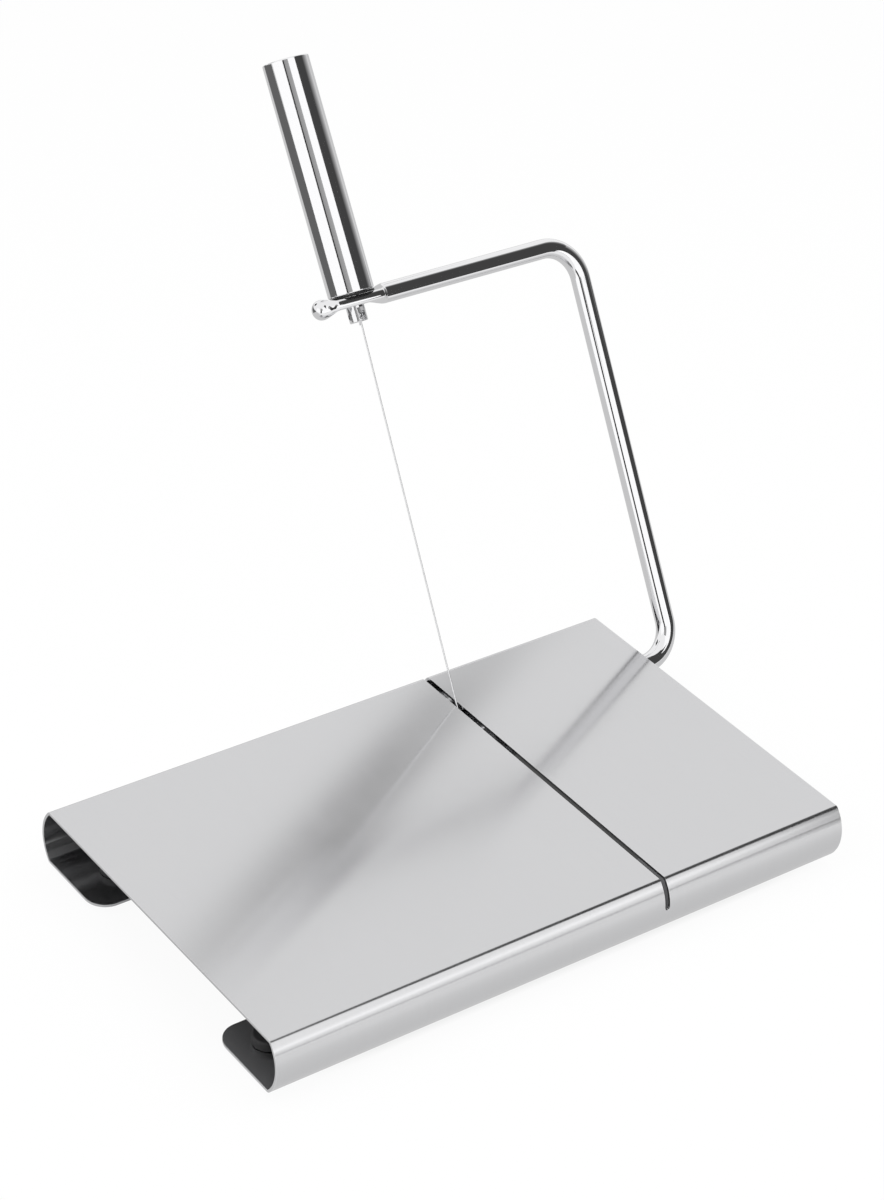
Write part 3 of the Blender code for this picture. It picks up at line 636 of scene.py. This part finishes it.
def makeBow(spec):
    rod = spec["rod"]
    legX = bowHigh.x - rod - slotX
    endX = bowLow.x - slotX
    plane = Vector((1, 0, 0)).cross(bowWay)
    lower = axleInHandle.copy()
    lower.x = legX - spec["lowerBend"]
    upper = axleInHandle + bowWay * bowArm
    upper.x = legX - spec["upperBend"]
    start = axleInHandle.copy()
    start.x = endX
    selectOnly()
    bpy.ops.mesh.primitive_circle_add(vertices=spec["sides"], radius=rod, location=start,
                                      rotation=(0, quarter, 0))
    bow = named("bow_rod")
    editAlone(bow)
    selectAll()
    push((lower.x - endX, 0, 0))
    swing(lower + bowWay * spec["lowerBend"], plane, quarter, spec["bendSteps"])
    push(bowWay * (bowArm - spec["lowerBend"] - spec["upperBend"]))
    swing(upper - bowWay * spec["upperBend"], plane, quarter, spec["bendSteps"])
    flat = spec["eyeFlat"] / 2
    push((flat + spec["legBlend"] - upper.x, 0, 0))
    stations = [flat + spec["legBlend"]]
    for length, steps in ((spec["legBlend"], spec["blendSteps"]), (spec["eyeFlat"], spec["flatSteps"]),
                          (spec["tipBlend"], spec["blendSteps"])):
        for _ in range(steps):
            push((-length / steps, 0, 0))
            stations.append(stations[-1] - length / steps)
    domeRoot = stations[-1]
    rounding = quarter / spec["domeSteps"]
    for step in range(1, spec["domeSteps"]):
        push((spec["dome"] * (math.sin((step - 1) * rounding) - math.sin(step * rounding)), 0, 0))
        shrink = math.cos(step * rounding) / math.cos((step - 1) * rounding)
        stretch((1, shrink, shrink), (domeRoot - spec["dome"] * math.sin(step * rounding), 0, 0))
    push((spec["dome"] * (math.sin(quarter - rounding) - 1), 0, 0))
    bpy.ops.mesh.merge(type="CENTER")
    pickEdges(lambda co: abs(co.x - endX) < tiny)
    bpy.ops.mesh.edge_face_add()
    pickEdges(lambda co: abs(co.x - endX) < tiny)
    bpy.ops.mesh.bevel(offset=spec["axleEdge"], segments=3, affect="EDGES")
    for station in stations:
        share = pressedShare(station, spec)
        pick("VERT", lambda vert: abs(vert.co.x - station) < tiny and vert.co.z > -2 * rod)
        stretch((1, 1 + (spec["eyeWidth"] / 2 / rod - 1) * share, 1), (station, 0, 0))
    objectMode()
    outwardFaces(bow)
    for side in (-1, 1):
        cutWith(bow, pressCutter(spec, side))
    cutWith(bow, roundCutter((0, 0, -rod - cutOverrun), (0, 0, rod + cutOverrun), spec["eyeHole"], sides=64))
    return bow


def pressedShare(station, spec):
    # 1 along the flat, easing to 0 at the leg and at the tip
    blend = spec["legBlend"] if station > 0 else spec["tipBlend"]
    share = min(max(1 - (abs(station) - spec["eyeFlat"] / 2) / blend, 0), 1)
    return share * share * (3 - 2 * share)


def pressCutter(spec, side):
    # what the press takes off one face: a slice that follows the flat and eases out at both ends
    rod = spec["rod"]
    steps = spec["pressSteps"]
    first = spec["eyeFlat"] / 2 + spec["legBlend"]
    last = -spec["eyeFlat"] / 2 - spec["tipBlend"]
    outer = rod + cutOverrun
    selectOnly()
    bpy.ops.mesh.primitive_plane_add(size=1, location=(first, 0, side * (outer + rod) / 2),
                                     rotation=(0, quarter, 0))
    bpy.context.object.scale = (outer - rod, 2 * spec["eyeWidth"], 1)
    cutter = named("cutter")
    editAlone(cutter)
    selectAll()
    previous = side * rod
    for step in range(1, steps + 1):
        station = first + (last - first) * step / steps
        limit = side * (rod + (spec["eyeThickness"] / 2 - rod) * pressedShare(station, spec))
        push(((last - first) / steps, 0, 0))
        stretch((1, 1, (side * outer - limit) / (side * outer - previous)), (station, 0, side * outer))
        previous = limit
    objectMode()
    outwardFaces(cutter)
    return cutter


def pierceAxle(bow, spec):
    # the wire's hole through the axle and the stop pin's hole beside it
    wireEnd = (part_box("wire_ferrule")[0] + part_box("wire_ferrule")[1]) / 2
    wireWay = (axleCentre - wireEnd).normalized() * (spec["rod"] + cutOverrun)
    cutWith(bow, roundCutter(axleCentre - wireWay, axleCentre + wireWay, spec["wireHole"], sides=24))
    pinLow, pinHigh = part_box("stop_pin")
    seat = axleCentre.copy()
    seat.x = (pinLow.x + pinHigh.x) / 2
    tip = (pinLow + pinHigh) / 2
    pinWay = (tip - seat).normalized() * (spec["rod"] + cutOverrun)
    cutWith(bow, roundCutter(seat - pinWay, seat + pinWay, spec["pinHole"], sides=32))


bow = makeBow(bowSpec)
putInPlace(bow, handleFrame)
pierceAxle(bow, bowSpec)
smoothOver(bow, degrees=55)
dress(bow, polishedRod, "bow", "polished_rod", "bow")
print("bow bent and pressed")


# Handle: washer, tube and plug, modelled upright over the eye and then leaned back
handleSpec = {
    "radius": 0.0086, "length": 0.0865, "wall": 0.0012, "lowEdge": 0.0005, "floor": 0.0029, "sides": 112,
    "plugLength": 0.004, "plugEdge": 0.0006, "plugDish": 0.0005, "plugRim": 0.0012,
    "dishSteps": 4, "dishInset": 0.2, "dishEase": 0.4,
    "washerRadius": 0.0085, "washerBore": 0.0037, "washerLow": 0.00195, "washerHigh": 0.00275,
    "washerEdge": 0.00012,
}


def makeTube(spec):
    selectOnly()
    middle = (0, 0, spec["floor"] + spec["length"] / 2)
    bpy.ops.mesh.primitive_cylinder_add(vertices=spec["sides"], radius=spec["radius"], depth=spec["length"],
                                        location=middle, end_fill_type="NOTHING")
    tube = named("handle_sleeve")
    finishWith(tube, "SOLIDIFY", thickness=spec["wall"], offset=-1, use_even_offset=True)
    softenEdges(tube, spec["lowEdge"], segments=5)
    smoothOver(tube)
    putInPlace(tube, handleFrame)
    return tube


def makePlug(spec):
    radius = spec["radius"] - spec["wall"] - seatGap
    high = spec["floor"] + spec["length"]
    selectOnly()
    bpy.ops.mesh.primitive_cylinder_add(vertices=spec["sides"], radius=radius, depth=spec["plugLength"],
                                        location=(0, 0, high - spec["plugLength"] / 2))
    plug = named("handle_end_plug")
    editAlone(plug)
    pickEdges(lambda co: co.z > high - tiny)
    bpy.ops.mesh.bevel(offset=spec["plugEdge"], segments=5, affect="EDGES")
    pick("FACE", lambda face: face.normal.z > straightOn and face.calc_center_median().z > high - tiny)
    bpy.ops.mesh.inset(thickness=spec["plugRim"])
    # the dish is steepest at its rim
    steps = spec["dishSteps"]
    flatRadius = radius - spec["plugEdge"] - spec["plugRim"]
    for step in range(1, steps + 1):
        drop = spec["plugDish"] / steps * (spec["dishEase"] + 1 - step / steps)
        bpy.ops.mesh.inset(thickness=flatRadius * spec["dishInset"])
        bpy.ops.transform.translate(value=(0, 0, -drop))
    objectMode()
    outwardFaces(plug)
    smoothOver(plug)
    putInPlace(plug, handleFrame)
    return plug


def makeWasher(spec):
    low, high = spec["washerLow"], spec["washerHigh"]
    selectOnly()
    bpy.ops.mesh.primitive_cylinder_add(vertices=spec["sides"], radius=spec["washerRadius"], depth=high - low,
                                        location=(0, 0, (low + high) / 2))
    washer = named("black_washer")
    cutWith(washer, roundCutter((0, 0, low - cutOverrun), (0, 0, high + cutOverrun),
                                spec["washerBore"], sides=64))
    softenEdges(washer, spec["washerEdge"], segments=3)
    smoothOver(washer)
    putInPlace(washer, handleFrame)
    return washer


dress(makeWasher(handleSpec), washerPlastic, "handle", "washer_plastic", "handle_washer")
dress(makeTube(handleSpec), polishedTube, "handle", "polished_tube", "handle_tube")
dress(makePlug(handleSpec), turnedSteel, "handle", "polished_stud", "handle_plug")
print("handle in place")


# Tension stud: turned, chamfered, slotted below and cross-drilled for its pin
studSpec = {
    "radius": 0.0034, "low": -0.0077, "high": 0.014, "edge": 0.0004, "slotWidth": 0.0026, "slotDepth": 0.0052,
    "pinHole": 0.001, "pinAt": 0.0024, "sides": 66,
}


def makeStud(spec):
    low, high = spec["low"], spec["high"]
    selectOnly()
    bpy.ops.mesh.primitive_cylinder_add(vertices=spec["sides"], radius=spec["radius"], depth=high - low,
                                        location=(0, 0, (low + high) / 2))
    stud = named("slotted_stud")
    softenEdges(stud, spec["edge"], segments=3)
    half = spec["slotWidth"] / 2
    reach = spec["radius"] + cutOverrun
    slot = blockCutter((-half, -reach, low - cutOverrun), (half, reach, low + spec["slotDepth"]))
    cutWith(stud, slot)
    pinZ = low + spec["pinAt"]
    cutWith(stud, roundCutter((-reach, 0, pinZ), (reach, 0, pinZ), spec["pinHole"], sides=32))
    smoothOver(stud)
    putInPlace(stud, handleFrame)
    return stud


dress(makeStud(studSpec), turnedSteel, "tension", "polished_stud", "tension_stud")
print("stud in place")


# Wire: straight from below the axle to the pin, over it, down behind, and round itself,
# as a curve made a mesh
wireSpec = {
    "radius": 0.0003, "roundness": 5, "pinRadius": 0.0007, "pinZ": -0.0053, "below": 0.007,
    "straightEnd": 0.004, "hookSteps": 14, "turns": 1.5, "twistSteps": 24, "pitch": 0.00075,
    "twistRadius": 0.00064, "twistDrop": 0.0009, "tail": 0.0016, "tailOut": 0.0006,
}


def wirePath(spec):
    hook = spec["pinRadius"] + seatGap + spec["radius"]
    pinZ = spec["pinZ"]
    top = Vector((0, -hook, pinZ))
    way = (top - axleInHandle).normalized()
    points = [axleInHandle - way * spec["below"], top - way * spec["straightEnd"]]
    for step in range(spec["hookSteps"] + 1):
        angle = math.pi - math.pi * step / spec["hookSteps"]
        points.append(Vector((0, hook * math.cos(angle), pinZ + hook * math.sin(angle))))
    # the short end comes back to the taut one and goes round it
    steps = spec["twistSteps"]
    side = Vector((1, 0, 0))
    back = way.cross(side)
    for step in range(steps + 1):
        share = step / steps
        angle = share * spec["turns"] * whole
        drop = spec["twistDrop"] + share * spec["turns"] * spec["pitch"]
        along = top - way * drop
        points.append(along + (back * -math.cos(angle) + side * math.sin(angle)) * spec["twistRadius"])
    last = points[-1]
    out = (last - along).normalized()
    points.append(last + (out * spec["tailOut"] - way * spec["tail"]) / 2)
    points.append(last + out * spec["tailOut"] - way * spec["tail"])
    return points


def makeWire(spec):
    points = wirePath(spec)
    curve = bpy.data.curves.new("taut_wire", "CURVE")
    curve.dimensions = "3D"
    curve.bevel_depth = spec["radius"]
    curve.bevel_resolution = spec["roundness"]
    curve.use_fill_caps = True
    spline = curve.splines.new("POLY")
    spline.points.add(len(points) - 1)
    for point, place in zip(spline.points, points):
        point.co = (*place, 1)
    wire = bpy.data.objects.new("taut_wire", curve)
    bpy.context.scene.collection.objects.link(wire)
    selectOnly(wire)
    bpy.ops.object.convert(target="MESH")
    wire = bpy.context.object
    outwardFaces(wire)
    smoothOver(wire, degrees=60)
    putInPlace(wire, handleFrame)
    return wire


dress(makeWire(wireSpec), drawnSteel, "tension", "wire_steel", "cutting_wire")
print("wire strung")


# Brackets: a bent strip each, its two ears rounded round the axle
bracketSpec = {
    "sheet": 0.0015, "bend": 0.0012, "earMargin": 0.003, "earRound": 0.98, "earSteps": 14,
    "bendSteps": 8, "edge": 0.00015,
}


def makeBracket(node, name, spec):
    low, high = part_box(node)
    centreX = (low.x + high.x) / 2
    bore = bowSpec["rod"] + seatGap
    ear = bore + spec["earMargin"]
    bend = spec["bend"] + spec["sheet"]
    selectOnly()
    bpy.ops.mesh.primitive_plane_add(size=1, location=(centreX, axleCentre.y, high.z))
    bpy.context.object.scale = (high.x - low.x - 2 * bend, high.y - low.y, 1)
    bracket = named(name)
    editAlone(bracket)
    for side in (-1, 1):
        selectAll()
        bpy.ops.mesh.bisect(plane_co=(centreX, axleCentre.y + side * ear, high.z), plane_no=(0, 1, 0))
    for side in (-1, 1):
        edgeX = centreX + side * ((high.x - low.x) / 2 - bend)
        pickEdges(lambda co: abs(co.x - edgeX) < tiny and abs(co.y - axleCentre.y) < ear + tiny)
        swing((edgeX, axleCentre.y, high.z - bend), (0, 1, 0), side * quarter, spec["bendSteps"])
        push((0, 0, axleCentre.z - ear - (high.z - bend)))
    pick("VERT", lambda vert: vert.co.z < axleCentre.z - ear + tiny)
    bpy.ops.mesh.bevel(offset=ear * spec["earRound"], segments=spec["earSteps"], affect="VERTICES")
    outwardFaces(bracket)
    editAlone(bracket)
    selectAll()
    bpy.ops.mesh.flip_normals()
    objectMode()
    return bracket


for node, name in (("axle_bracket_left", "bent_bracket_left"), ("axle_bracket_right", "bent_bracket_right")):
    bracket = makeBracket(node, name, bracketSpec)
    finishWith(bracket, "SOLIDIFY", thickness=bracketSpec["sheet"], offset=-1, use_even_offset=True)
    low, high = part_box(node)
    cutWith(bracket, roundCutter((low.x - cutOverrun, *axleCentre.yz), (high.x + cutOverrun, *axleCentre.yz),
                                 bowSpec["rod"] + seatGap))
    softenEdges(bracket, bracketSpec["edge"])
    smoothOver(bracket)
    dress(bracket, plainSteel, "base", "bracket_steel", node)
print("brackets bent")


# Pieces whose CAD shape is right keep it and get their finish
keptNodes = {
    "stop_pin": zincSteel, "axle_ring_outer": zincSteel, "axle_ring_inner": zincSteel,
    "wire_pin": turnedSteel, "wire_ferrule": plainSteel, "handle_insert": plainSteel,
}
for node, material in keptNodes.items():
    kept = frame["nodes"][node]
    kept.data.materials.clear()
    kept.data.materials.append(material)
print("small pieces finished")


# Studio: pale floor, white surroundings, soft lamps, and cards and panels that only the polish sees
studioSpec = {
    "floorSize": 14.0, "floorColour": (0.86, 0.86, 0.86), "floorWhite": 0.94,
    "floorRough": 0.9, "floorGloss": 0.1,
    "frontY": -0.16, "frontTone": 0.98, "rearY": -0.01, "rearTone": 0.64, "worldLight": 0.62,
    "shadeMargin": 0.004, "shadeFade": 0.03, "shadeTone": 0.07, "openEnd": 0.016,
}
cameraSpec = {
    "place": (-0.5563, -0.7004, 0.6690), "turn": (56.871, -3.524, -35.675),
    "lens": 95.52, "sensor": 36.0, "nearest": 0.01,
}


def mathNode(tree, operation, first, second=None, clamp=False):
    node = tree.nodes.new("ShaderNodeMath")
    node.operation = operation
    node.use_clamp = clamp
    for socket, value in zip(node.inputs, (first, second)):
        if isinstance(value, (int, float)):
            socket.default_value = value
        elif value is not None:
            tree.links.new(value, socket)
    return node.outputs["Value"]


def makeWorld(spec):
    world = bpy.data.worlds.new("studio")
    bpy.context.scene.world = world
    world.use_nodes = True
    tree = world.node_tree
    background = tree.nodes["Background"]
    background.inputs["Color"].default_value = (1, 1, 1, 1)
    path = tree.nodes.new("ShaderNodeLightPath")
    straight = mathNode(tree, "MAXIMUM", path.outputs["Is Camera Ray"], path.outputs["Is Transmission Ray"])
    level = mathNode(tree, "MAXIMUM", straight, path.outputs["Is Glossy Ray"])
    tree.links.new(mathNode(tree, "MAXIMUM", level, spec["worldLight"]), background.inputs["Strength"])


def makeFloor(spec):
    selectOnly()
    bpy.ops.mesh.primitive_plane_add(size=spec["floorSize"], location=(0, 0, floorZ))
    floor = named("floor")
    material = bpy.data.materials.new("pale_floor")
    material.use_nodes = True
    tree = material.node_tree
    shader = tree.nodes["Principled BSDF"]
    shader.inputs["Base Color"].default_value = (*spec["floorColour"], 1)
    shader.inputs["Roughness"].default_value = spec["floorRough"]
    shader.inputs["Specular IOR Level"].default_value = spec["floorGloss"]
    place = tree.nodes.new("ShaderNodeTexCoord")
    split = tree.nodes.new("ShaderNodeSeparateXYZ")
    tree.links.new(place.outputs["Object"], split.inputs["Vector"])
    path = tree.nodes.new("ShaderNodeLightPath")
    straight = mathNode(tree, "MAXIMUM", path.outputs["Is Camera Ray"], path.outputs["Is Transmission Ray"])
    anySight = mathNode(tree, "MAXIMUM", straight, path.outputs["Is Glossy Ray"])
    # a polish sees the floor greyer behind the object than in front of it
    inPolish = tree.nodes.new("ShaderNodeMapRange")
    inPolish.interpolation_type = "SMOOTHSTEP"
    inPolish.inputs["From Min"].default_value = spec["frontY"]
    inPolish.inputs["From Max"].default_value = spec["rearY"]
    inPolish.inputs["To Min"].default_value = spec["frontTone"]
    inPolish.inputs["To Max"].default_value = spec["rearTone"]
    tree.links.new(split.outputs["Y"], inPolish.inputs["Value"])
    level = mathNode(tree, "MAXIMUM", straight, inPolish.outputs["Result"])
    # shade under the board, which for the camera begins a little way in from the open left end
    leftEnd = mathNode(tree, "ADD", mathNode(tree, "MULTIPLY", straight, spec["openEnd"]), boardLow.x)
    fade = 1 / spec["shadeFade"]
    left = mathNode(tree, "MULTIPLY", mathNode(tree, "SUBTRACT", split.outputs["X"], leftEnd), fade, True)
    right = mathNode(tree, "MULTIPLY", mathNode(tree, "SUBTRACT", boardHigh.x - spec["shadeMargin"],
                                                split.outputs["X"]), fade, True)
    fromSide = mathNode(tree, "SUBTRACT", boardHigh.y - spec["shadeMargin"],
                        mathNode(tree, "ABSOLUTE", split.outputs["Y"]))
    sides = mathNode(tree, "MULTIPLY", fromSide, fade, True)
    under = mathNode(tree, "MULTIPLY", mathNode(tree, "MULTIPLY", left, right), sides)
    lost = mathNode(tree, "MULTIPLY", under, 1 - spec["shadeTone"])
    white = tree.nodes.new("ShaderNodeEmission")
    shown = mathNode(tree, "SUBTRACT", 1, lost)
    tree.links.new(mathNode(tree, "MULTIPLY", level, shown), white.inputs["Strength"])
    mix = tree.nodes.new("ShaderNodeMixShader")
    tree.links.new(mathNode(tree, "MULTIPLY", anySight, spec["floorWhite"]), mix.inputs["Fac"])
    tree.links.new(shader.outputs["BSDF"], mix.inputs[1])
    tree.links.new(white.outputs["Emission"], mix.inputs[2])
    tree.links.new(mix.outputs["Shader"], tree.nodes["Material Output"].inputs["Surface"])
    floor.data.materials.append(material)


def evenTone(tone):
    return (0, tone), (1, tone)


# Tones run across a card from its left to its right as the object sees it, or from its foot up
towardsObject = (-0.824, 0.567, 0)
cards = {
    "card_right_high": {"place": (0.540, -0.059, 0.91), "facing": towardsObject, "size": (0.985, 0.98),
                        "tones": ((0, 0.50), (0.35, 0.06), (1, 0.06))},
    "card_right_middle": {"place": (0.5712, -0.0138, 0.275), "facing": towardsObject, "size": (0.815, 0.29),
                          "tones": ((0, 0.80), (0.577, 0.06), (1, 0.06))},
    "card_right_low": {"place": (0.5712, -0.0138, 0.0525), "facing": towardsObject, "size": (0.815, 0.155),
                       "tones": ((0, 0.80), (0.10, 0.80), (0.25, 0.06), (1, 0.06))},
    "card_front_low": {"place": (0.197, -0.557, 0.1125), "facing": towardsObject, "size": (0.505, 0.275),
                       "upward": True, "strength": 1.55,
                       "tones": ((0, 0.64), (0.21, 0.64), (0.23, 0.20), (0.27, 0.20), (0.29, 0.70),
                                 (0.50, 0.71), (0.60, 1.0), (0.70, 1.0), (0.80, 0.80), (1, 0.70))},
    "card_camera_body": {"place": (-0.6385, -0.688, 0.85), "facing": (0.64, 0.77, 0), "size": (0.58, 0.60),
                         "tones": ((0, 0.44), (0.76, 0.34), (0.79, 0.04), (1, 0.04))},
    "card_camera_stand": {"place": (-0.700, -0.637, 0.30), "facing": (0.64, 0.77, 0), "size": (0.30, 0.64),
                          "tones": evenTone(0.04)},
    "card_floor_rear_left": {"place": (-1.56, 1.84, -0.024), "facing": (0, 0, 1), "size": (2.88, 3.0),
                             "tones": evenTone(0.14)},
    "card_rear_left": {"place": (-0.36, 1.11, 0.60), "facing": (0.35, -0.94, 0), "size": (0.4, 0.5),
                       "tones": evenTone(0.05)},
    "card_rear_band": {"place": (0.6787, 0.991, 0.905), "facing": (-0.606, -0.795, 0), "size": (0.06, 0.36),
                       "roll": 34.6, "solid": 0.2, "tones": ((0, 1.0), (0.35, 0.10), (0.85, 0.10), (1, 1.0))},
    "panel_front": {"place": (-0.30, -1.30, 1.07), "facing": (0, 1, 0), "size": (2.4, 2.25), "strength": 1.18,
                    "tones": evenTone(1)},
    "panel_left": {"place": (-1.40, -0.28, 0.52), "facing": (1, 0, 0), "size": (1.4, 1.1), "strength": 1.18,
                   "tones": evenTone(1)},
}


def makeCard(name, spec):
    facing = Vector(spec["facing"]).normalized()
    selectOnly()
    bpy.ops.mesh.primitive_plane_add(size=1)
    card = bpy.context.object
    card.name = name
    card.data.name = name
    card.scale = (*spec["size"], 1)
    if abs(facing.z) < straightOn:
        roll = Matrix.Rotation(math.radians(spec.get("roll", 0)), 3, "Z")
        card.rotation_euler = (facing.to_track_quat("Z", "Y").to_matrix() @ roll).to_euler()
    card.location = spec["place"]
    material = bpy.data.materials.new(name)
    material.use_nodes = True
    tree = material.node_tree
    tree.nodes.remove(tree.nodes["Principled BSDF"])
    light = tree.nodes.new("ShaderNodeEmission")
    light.inputs["Strength"].default_value = spec.get("strength", 1.0)
    place = tree.nodes.new("ShaderNodeTexCoord")
    split = tree.nodes.new("ShaderNodeSeparateXYZ")
    ramp = tree.nodes.new("ShaderNodeValToRGB")
    stops = ramp.color_ramp.elements
    half = 0.5                                         # a card's own places run from -half to half
    while len(stops) < len(spec["tones"]):
        stops.new(half)
    for stop, (position, tone) in zip(stops, spec["tones"]):
        stop.position = position
        stop.color = (tone, tone, tone, 1)
    tree.links.new(place.outputs["Object"], split.inputs["Vector"])
    along = split.outputs["Y" if spec.get("upward") else "X"]
    tree.links.new(mathNode(tree, "ADD", along, half), ramp.inputs["Fac"])
    # beyond its solid part the card fades to white at both ends
    solid = spec.get("solid", half)
    pastSolid = mathNode(tree, "SUBTRACT", mathNode(tree, "ABSOLUTE", split.outputs["Y"]), solid)
    fading = mathNode(tree, "MULTIPLY", pastSolid, 1 / max(half - solid, tiny), True)
    tree.links.new(mathNode(tree, "MAXIMUM", ramp.outputs["Color"], fading), light.inputs["Color"])
    tree.links.new(light.outputs["Emission"], tree.nodes["Material Output"].inputs["Surface"])
    card.data.materials.append(material)
    card.visible_camera = False
    card.visible_diffuse = False
    card.visible_shadow = False
    card.visible_transmission = False


lamps = {
    "lamp_top": {"place": (0.1, -0.1, 1.3), "size": 1.4, "power": 9.0},
    "lamp_left": {"place": (-1.1, 0.2, 0.9), "size": 1.0, "power": 5.0},
    "lamp_right": {"place": (1.0, -0.6, 0.8), "size": 1.0, "power": 3.0},
}


def makeLamp(name, spec):
    selectOnly()
    place = Vector(spec["place"])
    bpy.ops.object.light_add(type="AREA", location=place,
                             rotation=(-place).to_track_quat("-Z", "Y").to_euler())
    lamp = bpy.context.object
    lamp.name = name
    lamp.data.size = spec["size"]
    lamp.data.energy = spec["power"]
    lamp.visible_glossy = False


def makeCamera(spec):
    selectOnly()
    turn = [math.radians(angle) for angle in spec["turn"]]
    bpy.ops.object.camera_add(location=spec["place"], rotation=turn)
    camera = bpy.context.object
    camera.data.lens = spec["lens"]
    camera.data.sensor_width = spec["sensor"]
    camera.data.clip_start = spec["nearest"]
    bpy.context.scene.camera = camera


makeWorld(studioSpec)
makeFloor(studioSpec)
for name, spec in cards.items():
    makeCard(name, spec)
for name, spec in lamps.items():
    makeLamp(name, spec)
makeCamera(cameraSpec)
bpy.context.scene.view_settings.view_transform = "Standard"
print("studio set")
